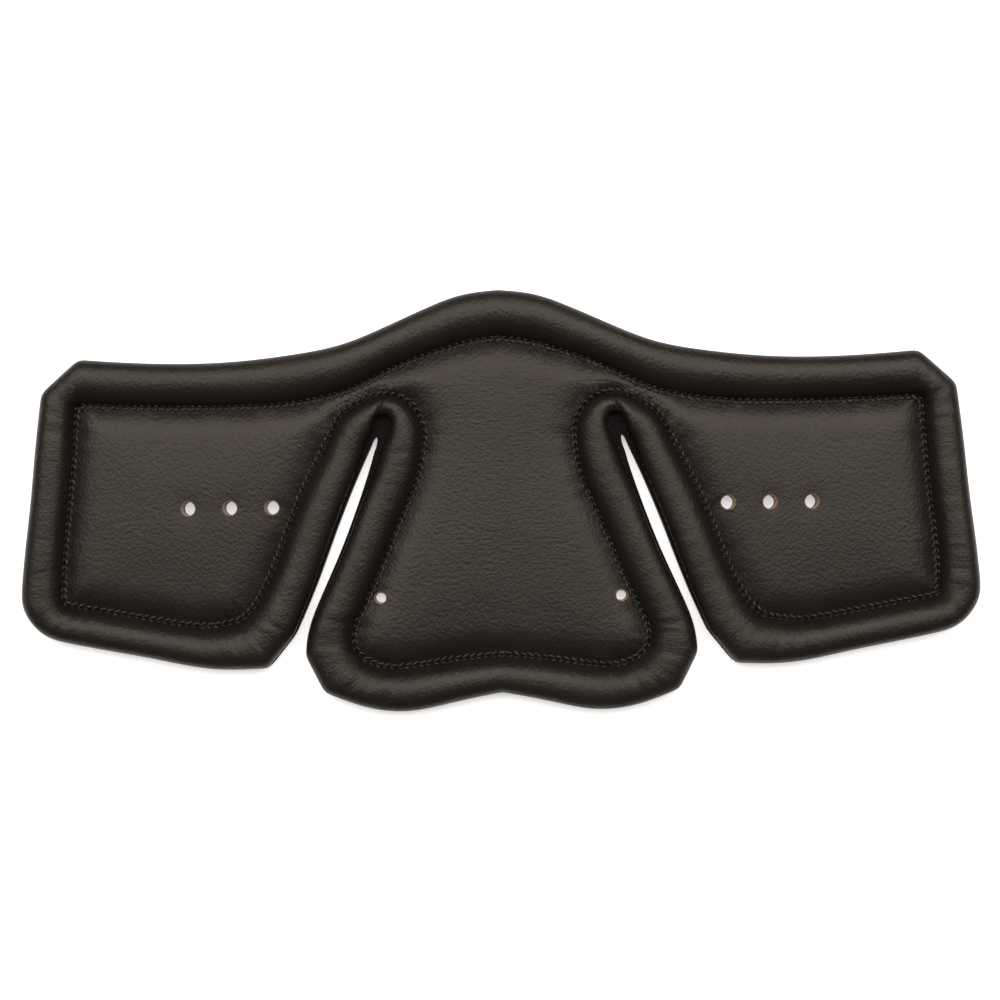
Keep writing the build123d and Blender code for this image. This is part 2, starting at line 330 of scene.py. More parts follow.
def fillPanel(seam, grid):
    # triangles of the right half inside the seam, with its holes; the seam's points come first
    top, bottom = seam[0, 1], seam[-1, 1]
    count = int((top - bottom) / grid)
    middle = np.stack([np.zeros(count - 1), np.linspace(bottom, top, count + 1)[1:-1]], axis=1)
    loop = np.concatenate([seam, middle])
    points, edges = [loop], [(i, (i + 1) % len(loop)) for i in range(len(loop))]
    total, steps = len(loop), cover["ringPoints"]
    holes = halfHoles()
    for onWall, ring in holeRings(holes):
        points.append(ring)
        if onWall:
            edges += [(total + i, total + (i + 1) % steps) for i in range(steps)]
        total += steps
    # loose points in staggered rows, clear of the seam and of the rings
    low, high = seam.min(0), seam.max(0)
    rowGap, jitter, clearance = 0.87 * grid, 0.12, 0.62 * grid
    xs, ys = np.arange(low[0] + grid, high[0], grid), np.arange(low[1], high[1], rowGap)
    field = np.stack(np.meshgrid(xs, ys), axis=-1)
    field[1::2, :, 0] += grid / 2
    field = field.reshape(-1, 2)
    field = field + np.random.RandomState(11).uniform(-jitter, jitter, field.shape) * grid
    field = field[insideLoop(field, loop)]
    field = field[nearest(field, loop)[0] > clearance]
    for x, y, radius in holes:
        room = radius + cover["holeRings"][-1] + 0.5 * grid
        field = field[np.hypot(field[:, 0] - x, field[:, 1] - y) > room]
    points = np.concatenate(points + [field])
    made = delaunay_2d_cdt([Vector(p) for p in points], edges, [], 1, 1e-7)
    index = [origin[0] if origin else -1 for origin in made[3]]
    places = np.array([(v.x, v.y) for v in made[0]])
    centres = np.array([places[list(face)].mean(0) for face in made[2]])
    keep = insideLoop(centres, loop)
    for x, y, radius in holes:
        keep &= np.hypot(centres[:, 0] - x, centres[:, 1] - y) > radius * 0.995
    faces = []
    for face, kept in zip(made[2], keep):
        corners = [index[v] for v in face]
        if kept and min(corners) >= 0:
            a, b, c = points[corners]
            turn = (b[0] - a[0]) * (c[1] - a[1]) - (b[1] - a[1]) * (c[0] - a[0])
            faces.append(corners if turn > 0 else corners[::-1])
    return points, faces


def panelHeights(points, seam, heights):
    # a panel rises from the seam and dips at the holes; in millimetres
    away, which = nearest(points, seam)
    low = seamHeights(heights)[which]
    top = levels["panel"] / mm + cover["panelLift"]
    climb = 1 - (1 - np.clip(away / cover["panelRise"], 0, 1)) ** 2.4
    crownStart, crownWidth = cover["crownReach"]
    height = low + (top - low) * climb + cover["panelCrown"] * easeIn((away - crownStart) / crownWidth)
    for x, y, radius in halfHoles():
        reach = np.hypot(points[:, 0] - x, points[:, 1] - y) - radius
        height -= cover["holeDip"] * np.exp(-np.clip(reach, 0, None) / 1.6)
    return height, away, which


def relaxed(height, faces, free, turns):
    # evens out creases in a height over a triangle mesh, its rim held
    corners = np.array(faces)
    pairs = np.concatenate([corners[:, [0, 1]], corners[:, [1, 2]], corners[:, [2, 0]]])
    pairs = np.concatenate([pairs, pairs[:, ::-1]])
    neighbours = np.maximum(np.bincount(pairs[:, 0], minlength=len(height)), 1)
    for turn in range(turns):
        average = np.bincount(pairs[:, 0], weights=height[pairs[:, 1]], minlength=len(height)) / neighbours
        height = np.where(free, 0.5 * height + 0.5 * average, height)
    return height


def seamHeights(heights):
    return (levels["flange"] + cover["roll"][-1][1] * heights * (levels["crest"] - levels["flange"])) / mm


def halfNoise(count, rows, sizes, seed, side):
    # one half of the stripes that run right round the rim
    total = 2 * (count - 1)
    order = np.arange(count) if side > 0 else (-np.arange(count)) % total
    fine, wide = sizes
    return loopNoise(total, rows, fine / cover["step"], wide / cover["step"], seed)[order]


def columnGather(edge, seam):
    # how much shorter or longer the seam is than the edge beside it
    edgeStep = np.linalg.norm(np.gradient(edge, axis=0), axis=1)
    seamStep = np.linalg.norm(np.gradient(seam, axis=0), axis=1)
    gather = np.abs(np.log(np.clip(edgeStep, 0.05, None) / np.clip(seamStep, 0.05, None)))
    return blur(np.clip(gather, 0, 1), cover["gatherBlur"] / cover["step"])


def rollSurface(edge, seam, foot, heights, gather, stripes, lumps):
    # flange and roll of one half in millimetres: columns along the rim, rows across it
    across, up = rollRows.T
    share = foot[:, None] + (1 - foot[:, None]) * across
    share[:, 0] = 0
    share[:, 1] = foot * cover["flangeRow"]
    flat = edge[:, None] + (seam - edge)[:, None] * share[..., None]
    z = levels["flange"] / mm + up * heights[:, None] * (levels["crest"] - levels["flange"]) / mm
    roll = np.concatenate([flat, z[..., None]], axis=2)
    # puckers: strongest where the roll is gathered, and next to its foot and its seam
    reach, low, high = cover["bySlit"]
    bySlit = (seam[:, 0] < reach) & (seam[:, 1] < high) & (seam[:, 1] > low)
    firm = 1 - cover["puckerLoss"] * blur(bySlit.astype(float), 5.0 / cover["step"])
    bow = np.sin(np.clip(across, 0, 1) * math.pi) ** 0.6
    ends = 0.75 + np.abs(across - 0.45)
    depth = (firm * (cover["puckerBase"] + cover["puckerCorner"] * gather))[:, None] * (bow * ends)
    outward = np.cross(np.gradient(roll, axis=1), np.gradient(roll, axis=0))
    outward /= np.linalg.norm(outward, axis=2, keepdims=True) + 1e-9
    outward *= np.sign(outward[:, 8:9, 2:3])
    roll = roll + outward * (depth * stripes + cover["lumps"] * lumps * bow)[..., None]
    # the fold that runs on from the end of the slit
    slitEnd = np.where((edge[:, 0] < 60) & (edge[:, 1] < 26), edge[:, 1], -99).argmax()
    fold = np.exp(-(((np.arange(len(edge)) - slitEnd) * cover["step"] / cover["foldWidth"]) ** 2))
    roll[..., 2] -= cover["foldDepth"] * fold[:, None] * (bow * np.linspace(1.25, 0.35, len(rollRows)))
    return roll


def halfSurface(edge, seam, foot, heights, panel, side):
    # the cover's outer face on one half, in metres (flange, roll, panel), and the values it carries
    points, faces = panel
    step, count, rows = cover["step"], len(edge), len(rollRows)
    stripes = halfNoise(count, rows, cover["puckerSizes"], cover["puckerSeed"], side)
    lumps = blur(halfNoise(count, rows, cover["lumpSizes"], cover["lumpSeed"], side), 4.0, axis=1)
    gather = columnGather(edge, seam)
    roll = rollSurface(edge, seam, foot, heights, gather, stripes, lumps)
    # panel: puckers beside the seam
    height, away, which = panelHeights(points, seam, heights)
    height = relaxed(height, faces, away > 0.01, cover["relaxTurns"])
    column = seamColumn(points, seam, which)
    free = clearOfNeighbour(points, seam, which, away)
    stripeFade, fineFade, tightFade = cover["panelFades"]
    stripe = np.interp(column, np.arange(count), stripes[:, -4]) * np.exp(-away / stripeFade)
    stripe = stripe * np.clip(away / 0.8, 0, 1) * free
    everywhere, whereGathered = cover["panelPucker"]
    height += stripe * (everywhere + whereGathered * gather[which])
    # one mesh: the panel's first points are the roll's last row
    grid = np.arange(count * rows).reshape(count, rows)
    vertices = np.concatenate([roll.reshape(-1, 3), np.column_stack([points, height])[count:]])
    vertices[:, 0] *= side
    vertices *= mm
    quads = np.stack([grid[:-1, :-1], grid[1:, :-1], grid[1:, 1:], grid[:-1, 1:]], axis=-1).reshape(-1, 4)
    triangles = panelIndex(points, grid)[np.array(faces)]
    if side > 0:
        quads = quads[:, ::-1]
    else:
        triangles = triangles[:, ::-1]
    # the place along the rim, across the roll and how much it puckers; how gathered; how much it is flange
    # (the material darkens the flange with painted shade)
    away, inner, column, free = away[count:], which[count:], column[count:], free[count:]
    width = np.linalg.norm(np.diff(roll, axis=1), axis=2)
    acrossRoll = np.concatenate([np.zeros((count, 1)), np.cumsum(width, axis=1)], axis=1).reshape(-1)
    alongRoll = np.repeat(np.arange(count) * step * side, rows)
    onRoll = np.tile(0.30 + 0.70 * easeIn((rollRows[:, 0] - 0.5) / 0.4), count)
    everywhere, whereGathered = cover["finePucker"]
    onPanel = free * np.exp(-away / fineFade) * (everywhere + whereGathered * gather[inner])
    values = {
        "rimPlace": np.stack([np.concatenate([alongRoll, column * step * side]),
                              np.concatenate([acrossRoll, 30 + away]),
                              np.concatenate([onRoll, onPanel])], axis=1),
        "gathered": np.concatenate([np.repeat(gather, rows), gather[inner] * np.exp(-away / tightFade)]),
        # flange: mask for the flange's painted shade and its duller finish
        "flange": np.concatenate([np.tile([1.0, 1.0, 0.8] + [0.0] * (rows - 3), count), np.zeros(len(away))]),
    }
    return vertices, plainFaces(quads) + plainFaces(triangles), values


def panelIndex(points, grid):
    # where each of a panel's points stands in a mesh that starts with a grid across the rim
    count = len(grid)
    return np.concatenate([grid[:, -1], np.arange(len(points) - count) + grid.size])


def plainFaces(rows):
    return [tuple(map(int, row)) for row in rows]


def newPiece(name, vertices, faces):
    mesh = bpy.data.meshes.new(name)
    mesh.from_pydata([tuple(map(float, v)) for v in vertices], [], faces)
    mesh.validate()
    mesh.update()
    piece = bpy.data.objects.new(name, mesh)
    bpy.context.scene.collection.objects.link(piece)
    return piece


def bakeModifiers(piece):
    bpy.context.view_layer.update()
    done = bpy.data.meshes.new_from_object(piece.evaluated_get(bpy.context.evaluated_depsgraph_get()))
    piece.modifiers.clear()
    old = piece.data
    piece.data = done
    bpy.data.meshes.remove(old)
    done.name = piece.name


def smoothShade(piece, angle=50):
    mesh = piece.data
    mesh.polygons.foreach_set("use_smooth", [True] * len(mesh.polygons))
    mesh.set_sharp_from_angle(angle=math.radians(angle))
    mesh.update()


def giveValues(piece, name, values):
    kind = "FLOAT_VECTOR" if values.ndim == 2 else "FLOAT"
    layer = piece.data.attributes.new(name, kind, "POINT")
    layer.data.foreach_set("vector" if values.ndim == 2 else "value", values.astype(np.float32).reshape(-1))


def meshPoints(piece):
    points = np.zeros(len(piece.data.vertices) * 3)
    piece.data.vertices.foreach_get("co", points)
    return points.reshape(-1, 3)


def markCuts(piece):
    # 1 on the walls of the punched holes
    points = meshPoints(piece) / mm
    cut = np.zeros(len(points))
    wallReach = 0.06
    for x, y, radius in halfHoles():
        reach = np.hypot(np.abs(points[:, 0]) - x, points[:, 1] - y) - radius
        cut = np.maximum(cut, (reach < wallReach).astype(float))
    giveValues(piece, "cut", cut)


def closedBody(name, vertices, faces, bottom):
    # a flat-bottomed solid under an open sheet that faces up
    count = len(vertices)
    low = vertices.copy()
    low[:, 2] = bottom
    seen = dict.fromkeys((a, b) for face in faces for a, b in zip(face, face[1:] + face[:1]))
    walls = [(b, a, a + count, b + count) for a, b in seen if (b, a) not in seen]
    under = [tuple(v + count for v in face[::-1]) for face in faces]
    return newPiece(name, np.concatenate([vertices, low]), list(faces) + under + walls)


def sheetRegion(edge, seam, panel, shares, height):
    # flat half sheet of the whole outline: a strip across the rim, then the panel
    points, faces = panel
    grid = np.arange(len(edge) * len(shares)).reshape(len(edge), len(shares))
    strip = edge[:, None] + (seam - edge)[:, None] * np.array(shares)[None, :, None]
    flat = np.concatenate([strip.reshape(-1, 2), points[len(edge):]]) * mm
    vertices = np.column_stack([flat, np.full(len(flat), height)])
    return vertices, upwardQuads(grid) + plainFaces(panelIndex(points, grid)[np.array(faces)])


def upwardQuads(grid):
    corners = grid[:-1, 1:], grid[1:, 1:], grid[1:, :-1], grid[:-1, :-1]
    return plainFaces(np.stack(corners, axis=-1).reshape(-1, 4))


def handed(vertices, faces, sign):
    # the right half as it is, or turned into the left half
    if sign > 0:
        return vertices, faces
    return vertices * np.array([-1.0, 1.0, 1.0]), [tuple(face[::-1]) for face in faces]


def bendWith(piece):
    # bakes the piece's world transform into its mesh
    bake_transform(piece)


def standFor(piece, side, layer):
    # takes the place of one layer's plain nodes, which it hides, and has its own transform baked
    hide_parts(side + "_wing_" + layer, "middle_" + layer)
    bendWith(piece)


class Tree:
    # a node tree that is written left to right
    def __init__(self, tree):
        self.tree = tree
        self.across = 0

    def feed(self, socket, value):
        if isinstance(value, bpy.types.NodeSocket):
            self.tree.links.new(value, socket)
        else:
            socket.default_value = value

    def add(self, kind, inputs={}, **settings):
        node = self.tree.nodes.new(kind)
        node.location = (self.across, -40 * (len(self.tree.nodes) % 7))
        self.across += 170
        for key, value in settings.items():
            setattr(node, key, value)
        for key, value in inputs.items():
            self.feed(node.inputs[key], value)
        return node

    def math(self, operation, a, b=0.0, c=None, clamp=False):
        values = {0: a, 1: b} if c is None else {0: a, 1: b, 2: c}
        return self.add("ShaderNodeMath", inputs=values, operation=operation, use_clamp=clamp).outputs[0]

    def mix(self, share, a, b):
        colours = {"Factor": share, 6: a, 7: b}
        return self.add("ShaderNodeMix", inputs=colours, data_type="RGBA").outputs[2]

    def join(self, x, y=0.0, z=0.0):
        return self.add("ShaderNodeCombineXYZ", inputs={"X": x, "Y": y, "Z": z}).outputs[0]

    def noise(self, vector, scale, detail=2.0, roughness=0.5, distortion=0.0):
        return self.add("ShaderNodeTexNoise", inputs={
            "Vector": vector, "Scale": scale, "Detail": detail, "Roughness": roughness,
            "Distortion": distortion}).outputs["Fac"]

    def between(self, value, span, low=0.0, high=1.0, kind="SMOOTHSTEP"):
        # low before the span, high past it
        inputs = {"Value": value, "From Min": span[0], "From Max": span[1], "To Min": low, "To Max": high}
        return self.add("ShaderNodeMapRange", inputs=inputs, interpolation_type=kind).outputs[0]

    def value(self, name):
        return self.add("ShaderNodeAttribute", attribute_name=name).outputs["Fac"]

    def bump(self, depth, height, normal=None, strength=1.0):
        inputs = {"Strength": strength, "Distance": depth, "Height": height}
        if normal is not None:
            inputs["Normal"] = normal
        return self.add("ShaderNodeBump", inputs=inputs).outputs[0]


def shaderGroup(name, inputs, outputs):
    group = bpy.data.node_groups.new(name, "ShaderNodeTree")
    for label, kind, value in inputs:
        socket = group.interface.new_socket(label, in_out="INPUT", socket_type=kind)
        if value is not None:
            socket.default_value = value
    for label, kind in outputs:
        group.interface.new_socket(label, in_out="OUTPUT", socket_type=kind)
    return group


def makeGrainGroup():
    # leather grain: pebbles with fine pores, as a height and a tone mask
    group = shaderGroup("leatherGrain",
                        [("Vector", "NodeSocketVector", None), ("Pebble Size", "NodeSocketFloat", 0.0012),
                         ("Pore Size", "NodeSocketFloat", 0.0004), ("Pore Share", "NodeSocketFloat", 0.3)],
                        [("Height", "NodeSocketFloat"), ("Tone", "NodeSocketFloat")])
    t = Tree(group)
    source = t.add("NodeGroupInput").outputs
    warp = t.add("ShaderNodeTexNoise", inputs={"Vector": source["Vector"], "Scale": 260.0, "Detail": 2.0})
    bent = t.add("ShaderNodeVectorMath", operation="MULTIPLY_ADD",
                 inputs={0: warp.outputs["Color"], 1: (mm, mm, mm), 2: source["Vector"]})
    pebbles = t.add("ShaderNodeTexVoronoi", feature="SMOOTH_F1", inputs={
        "Vector": bent.outputs[0], "Scale": t.math("DIVIDE", 1.0, source["Pebble Size"]), "Smoothness": 0.5})
    dome = t.math("SUBTRACT", 1.0, pebbles.outputs["Distance"])
    pores = t.noise(source["Vector"], t.math("DIVIDE", 1.0, source["Pore Size"]))
    height = t.math("ADD", dome, t.math("MULTIPLY", pores, source["Pore Share"]))
    tone = t.noise(source["Vector"], 35.0, detail=3.0)
    t.add("NodeGroupOutput", inputs={"Height": height, "Tone": tone})
    return group


def makeCreaseGroup():
    # long soft creases that run one way, thin across it
    group = shaderGroup("leatherCreases",
                        [("Vector", "NodeSocketVector", None), ("Turn", "NodeSocketFloat", 0.0),
                         ("Length", "NodeSocketFloat", 0.009), ("Width", "NodeSocketFloat", 0.0013)],
                        [("Height", "NodeSocketFloat")])
    t = Tree(group)
    source = t.add("NodeGroupInput").outputs
    turned = t.add("ShaderNodeVectorRotate", rotation_type="Z_AXIS",
                   inputs={"Vector": source["Vector"], "Angle": source["Turn"]})
    parts = t.add("ShaderNodeSeparateXYZ", inputs={0: turned.outputs[0]}).outputs
    x = t.math("DIVIDE", parts["X"], source["Length"])
    y = t.math("DIVIDE", parts["Y"], source["Width"])
    height = t.noise(t.join(x, y), 1.0, detail=2.5, roughness=0.55, distortion=0.7)
    t.add("NodeGroupOutput", inputs={"Height": height})
    return group


def newMaterial(name):
    material = bpy.data.materials.new(name)
    material.use_nodes = True
    material.node_tree.nodes.clear()
    t = Tree(material.node_tree)
    return material, t, t.add("ShaderNodeTexCoord").outputs["Object"]


def finishMaterial(t, base, roughness, normal, constants={}):
    inputs = {"Base Color": base, "Roughness": roughness, "Normal": normal, **constants}
    shader = t.add("ShaderNodeBsdfPrincipled", inputs=inputs)
    t.add("ShaderNodeOutputMaterial", inputs={"Surface": shader.outputs[0]})


nappa = {
    "dark": (0.0052, 0.0042, 0.0036, 1.0),
    "light": (0.0105, 0.0084, 0.0070, 1.0),
    "raw": ((0.12, 0.077, 0.046, 1.0), (0.20, 0.130, 0.080, 1.0)),      # the walls of the holes
    # flange: painted shade, the flange darkened as if in the shade of the roll
    "flange": (0.0022, 0.0017, 0.0022, 1.0),
    "pebble": 0.00125,
    "pore": 0.00042,
    "poreShare": 0.35,
    "grainDepth": 0.00010,
    "puckerWidth": 0.46,       # mm along the rim
    "puckerLength": 7.0,       # mm across the roll
    "puckerDepth": 0.00030,
    "puckerShare": (0.60, 1.5),        # everywhere, and more where gathered
    "creaseDepth": 0.00021,
    "levelCrease": {"Turn": 0.0, "Length": 0.0040, "Width": 0.00092},          # on the tongue
    "slantingCrease": {"Turn": -0.70, "Length": 0.0033, "Width": 0.00080},     # on the wings
    "wingStart": (0.046, 0.066),
    "wingMiddle": (0.092, 0.142),
    "creaseShare": (0.66, 0.20),       # near the tongue, out on the wing
    "creaseTop": (-0.045, -0.008),     # creases come in between these heights
    "roughness": 0.34,
    "toneShine": 0.16,
}


def makeNappa(grain, creases):
    material, t, place = newMaterial("blackNappa")
    rimPlace = t.add("ShaderNodeAttribute", attribute_name="rimPlace").outputs["Vector"]
    gathered, cut, flange = t.value("gathered"), t.value("cut"), t.value("flange")
    skin = t.add("ShaderNodeGroup", node_tree=grain, inputs={
        "Vector": place, "Pebble Size": nappa["pebble"], "Pore Size": nappa["pore"],
        "Pore Share": nappa["poreShare"]}).outputs
    # puckers run across the roll
    along, across, onRoll = t.add("ShaderNodeSeparateXYZ", inputs={0: rimPlace}).outputs
    along = t.math("DIVIDE", along, nappa["puckerWidth"])
    across = t.math("DIVIDE", across, nappa["puckerLength"])
    pucker = t.noise(t.join(along, across), 1.0, detail=3.0, roughness=0.55, distortion=0.2)
    everywhere, whereGathered = nappa["puckerShare"]
    tightness = t.math("MULTIPLY_ADD", gathered, whereGathered, everywhere)
    puckerHeight = t.math("MULTIPLY", pucker, t.math("MULTIPLY", onRoll, tightness))
    # creases: level on the tongue, slanting on the wings, both sides alike
    x, y, z = t.add("ShaderNodeSeparateXYZ", inputs={0: place}).outputs
    outward = t.math("ABSOLUTE", x)
    level = t.add("ShaderNodeGroup", node_tree=creases, inputs={
        "Vector": place, **nappa["levelCrease"]}).outputs["Height"]
    slanting = t.add("ShaderNodeGroup", node_tree=creases, inputs={
        "Vector": t.join(outward, y, z), **nappa["slantingCrease"]}).outputs["Height"]
    slanting = t.math("MULTIPLY", slanting, t.between(outward, nappa["wingMiddle"], *nappa["creaseShare"]))
    onWing = t.between(outward, nappa["wingStart"])
    crease = t.add("ShaderNodeMix", data_type="FLOAT",
                   inputs={"Factor": onWing, 2: level, 3: slanting}).outputs[0]
    offRoll = t.math("SUBTRACT", 1.0, t.math("MULTIPLY", onRoll, 2.6), clamp=True)
    offRoll = t.math("MULTIPLY", offRoll, t.between(y, nappa["creaseTop"], 0.25, 1.0))
    patches = t.between(t.noise(place, 28.0, detail=1.0), (0.36, 0.66), 0.35, 1.0, kind="LINEAR")
    creaseHeight = t.math("MULTIPLY", crease, t.math("MULTIPLY", offRoll, patches))
    normal = t.bump(nappa["puckerDepth"], puckerHeight)
    normal = t.bump(nappa["creaseDepth"], creaseHeight, normal)
    normal = t.bump(nappa["grainDepth"], skin["Height"], normal)
    base = t.mix(skin["Tone"], nappa["dark"], nappa["light"])
    # painted shade: the flange is darkened as if the roll shaded it
    base = t.mix(flange, base, nappa["flange"])
    base = t.mix(cut, base, t.mix(t.noise(place, 900.0, detail=3.0), *nappa["raw"]))
    shine = t.math("MULTIPLY_ADD", skin["Tone"], nappa["toneShine"], nappa["roughness"])
    dull = t.math("MAXIMUM", t.math("MULTIPLY", cut, 0.4), t.math("MULTIPLY", flange, 0.6))
    finishMaterial(t, base, t.math("ADD", shine, dull, clamp=True), normal,
                   {"Specular IOR Level": 0.27, "Specular Tint": (1.0, 0.91, 0.815, 1.0)})
    return material


leatherSheets = {
    "blackLining": {"dark": (0.016, 0.015, 0.0145, 1.0), "light": (0.030, 0.028, 0.027, 1.0),
                    "pebble": 0.0009, "roughness": 0.55},
    "tanCore": {"dark": (0.20, 0.105, 0.045, 1.0), "light": (0.46, 0.27, 0.13, 1.0),
                "pebble": 0.0006, "roughness": 0.62},
}
sheetEdge = {"dyed": (0.0035, 0.003, 0.004, 1.0), "raw": (0.185, 0.120, 0.074, 1.0), "layers": 380.0,
             "depth": 0.00007}


def makeSheetLeather(name, grain):
    look = leatherSheets[name]
    material, t, place = newMaterial(name)
    skin = t.add("ShaderNodeGroup", node_tree=grain, inputs={
        "Vector": place, "Pebble Size": look["pebble"], "Pore Size": 0.0003, "Pore Share": 0.6}).outputs
    base = t.mix(skin["Tone"], look["dark"], look["light"])
    # dyed on its outer edge, raw on the walls of the holes
    outerEdge = t.value("outerEdge")
    base = t.mix(outerEdge, base, sheetEdge["dyed"])
    base = t.mix(t.value("cut"), base, sheetEdge["raw"])
    layers = t.add("ShaderNodeTexWave", wave_type="BANDS", bands_direction="Z", inputs={
        "Vector": place, "Scale": sheetEdge["layers"], "Distortion": 3.0, "Detail": 2.0}).outputs["Fac"]
    height = t.math("ADD", skin["Height"], t.math("MULTIPLY", layers, outerEdge))
    finishMaterial(t, base, look["roughness"], t.bump(sheetEdge["depth"], height))
    return material


felts = {
    "rollFelt": {"dark": (0.30, 0.22, 0.14, 1.0), "light": (0.46, 0.35, 0.23, 1.0), "hairs": 1500.0},
    "panelFelt": {"dark": (0.33, 0.22, 0.12, 1.0), "light": (0.50, 0.35, 0.20, 1.0), "hairs": 1300.0},
}


def makeFelt(name):
    look = felts[name]
    material, t, place = newMaterial(name)
    hairs = t.noise(place, look["hairs"], detail=6.0, roughness=0.7, distortion=1.2)
    base = t.mix(hairs, look["dark"], look["light"])
    finishMaterial(t, base, 0.95, t.bump(0.0003, hairs), {"Sheen Weight": 0.2})
    return material


threads = {
    "seamThread": {"dark": (0.0040, 0.0034, 0.0032, 1.0), "light": (0.0160, 0.0140, 0.0125, 1.0),
                   "roughness": 0.42},
    "edgeThread": {"dark": (0.0035, 0.0032, 0.0045, 1.0), "light": (0.0100, 0.0090, 0.0120, 1.0),
                   "roughness": 0.45},
}


def makeThread(name):
    # two waxed plies twisted together
    look = threads[name]
    material, t, place = newMaterial(name)
    plies = t.add("ShaderNodeTexWave", wave_type="BANDS", bands_direction="DIAGONAL", inputs={
        "Vector": place, "Scale": 520.0, "Distortion": 1.5, "Detail": 1.0}).outputs["Fac"]
    base = t.mix(t.noise(place, 600.0), look["dark"], look["light"])
    finishMaterial(t, base, look["roughness"], t.bump(0.00012, plies, strength=0.8),
                   {"Specular IOR Level": 0.24, "Specular Tint": (1.0, 0.92, 0.84, 1.0)})
    return material


# lift is in millimetres, over the line that the stitches follow
seamStitch = {"pitch": 2.6 * mm, "length": 3.3 * mm, "width": 1.30 * mm, "height": 1.2 * mm,
              "slant": 0.42, "spread": 1.60 * mm, "jitter": 0.20, "lift": 0.46, "seed": 3}
edgeStitch = {"pitch": 3.1 * mm, "length": 2.5 * mm, "width": 0.75 * mm, "height": 0.55 * mm,
              "slant": 0.0, "spread": 0.0, "jitter": 0.10, "lift": 0.12, "seed": 9,
              "across": 0.62}      # share of the flange's width


def makeStitchNodes():
    tree = bpy.data.node_groups.new("stitchesAlongLine", "GeometryNodeTree")
    for label, kind, value in (("Geometry", "NodeSocketGeometry", None), ("Pitch", "NodeSocketFloat", 0.003),
                               ("Length", "NodeSocketFloat", 0.003), ("Width", "NodeSocketFloat", 0.001),
                               ("Height", "NodeSocketFloat", 0.001), ("Slant", "NodeSocketFloat", 0.2),
                               ("Spread", "NodeSocketFloat", 0.001), ("Jitter", "NodeSocketFloat", 0.1),
                               ("Seed", "NodeSocketInt", 1), ("Thread", "NodeSocketMaterial", None)):
        socket = tree.interface.new_socket(label, in_out="INPUT", socket_type=kind)
        if value is not None:
            socket.default_value = value
    tree.interface.new_socket("Geometry", in_out="OUTPUT", socket_type="NodeSocketGeometry")
    t = Tree(tree)
    source = t.add("NodeGroupInput").outputs
    line = t.add("GeometryNodeMeshToCurve", inputs={0: source["Geometry"]}).outputs[0]
    spaced = t.add("GeometryNodeResampleCurve", mode="LENGTH",
                   inputs={"Curve": line, "Length": source["Pitch"]}).outputs[0]
    halfLength = t.math("MULTIPLY", source["Length"], 0.5)
    halfWidth = t.math("MULTIPLY", source["Width"], 0.5)
    halfHeight = t.math("MULTIPLY", source["Height"], 0.5)
    size = t.join(halfLength, halfWidth, halfHeight)
    ball = t.add("GeometryNodeMeshIcoSphere", inputs={"Radius": 1.0, "Subdivisions": 2}).outputs[0]
    bead = t.add("GeometryNodeSetShadeSmooth", inputs={"Geometry": ball}).outputs[0]
    strands = []
    for turn in (1.0, -1.0):
        angle = t.math("MULTIPLY", source["Slant"], turn)
        aside = t.math("MULTIPLY", source["Spread"], 0.5 * turn)
        strands.append(t.add("GeometryNodeTransform", inputs={
            "Geometry": bead, "Scale": size, "Rotation": t.join(0.0, 0.0, angle),
            "Translation": t.join(0.0, aside)}).outputs[0])
    pair = t.add("GeometryNodeJoinGeometry")
    for strand in strands:
        t.feed(pair.inputs[0], strand)
    tangent = t.add("GeometryNodeInputTangent").outputs[0]
    facing = t.add("FunctionNodeAlignRotationToVector", axis="X", pivot_axis="Z",
                   inputs={"Vector": tangent}).outputs[0]
    low = t.math("MULTIPLY", source["Jitter"], -1.0)
    wobble = t.add("FunctionNodeRandomValue", data_type="FLOAT",
                   inputs={2: low, 3: source["Jitter"], "Seed": source["Seed"]}).outputs[1]
    twist = t.add("FunctionNodeRotateRotation", rotation_space="LOCAL", inputs={
        0: facing, 1: t.join(0.0, 0.0, wobble)}).outputs[0]
    placed = t.add("GeometryNodeInstanceOnPoints", inputs={
        "Points": spaced, "Instance": pair.outputs[0], "Rotation": twist}).outputs[0]
    real = t.add("GeometryNodeRealizeInstances", inputs={0: placed}).outputs[0]
    waxed = t.add("GeometryNodeSetMaterial",
                  inputs={"Geometry": real, "Material": source["Thread"]}).outputs[0]
    t.add("NodeGroupOutput", inputs={"Geometry": waxed})
    return tree


def stitchLine(name, line, look, tree, material):
    piece = newPiece(name, line * mm, [])
    piece.data.edges.add(len(line) - 1)
    piece.data.edges.foreach_set("vertices", np.array([(i, i + 1) for i in range(len(line) - 1)]).reshape(-1))
    modifier = piece.modifiers.new("stitches", "NODES")
    modifier.node_group = tree
    wanted = {key.capitalize(): value for key, value in look.items()}
    wanted["Thread"] = material
    for socket in tree.interface.items_tree:
        if socket.in_out == "INPUT" and socket.name in wanted:
            modifier[socket.identifier] = wanted[socket.name]
    bakeModifiers(piece)
    return piece


print("materials")
grain, creases = makeGrainGroup(), makeCreaseGroup()
blackNappa = makeNappa(grain, creases)
blackLining, tanCore = [makeSheetLeather(name, grain) for name in leatherSheets]
rollFelt, panelFelt = [makeFelt(name) for name in felts]
seamThread, edgeThread = [makeThread(name) for name in threads]

print("rim columns and panels")
edge, seam, foot = rimColumns(cover["step"])
heights = rollHeights(edge, seam, foot)
panel = fillPanel(seam, cover["grid"])

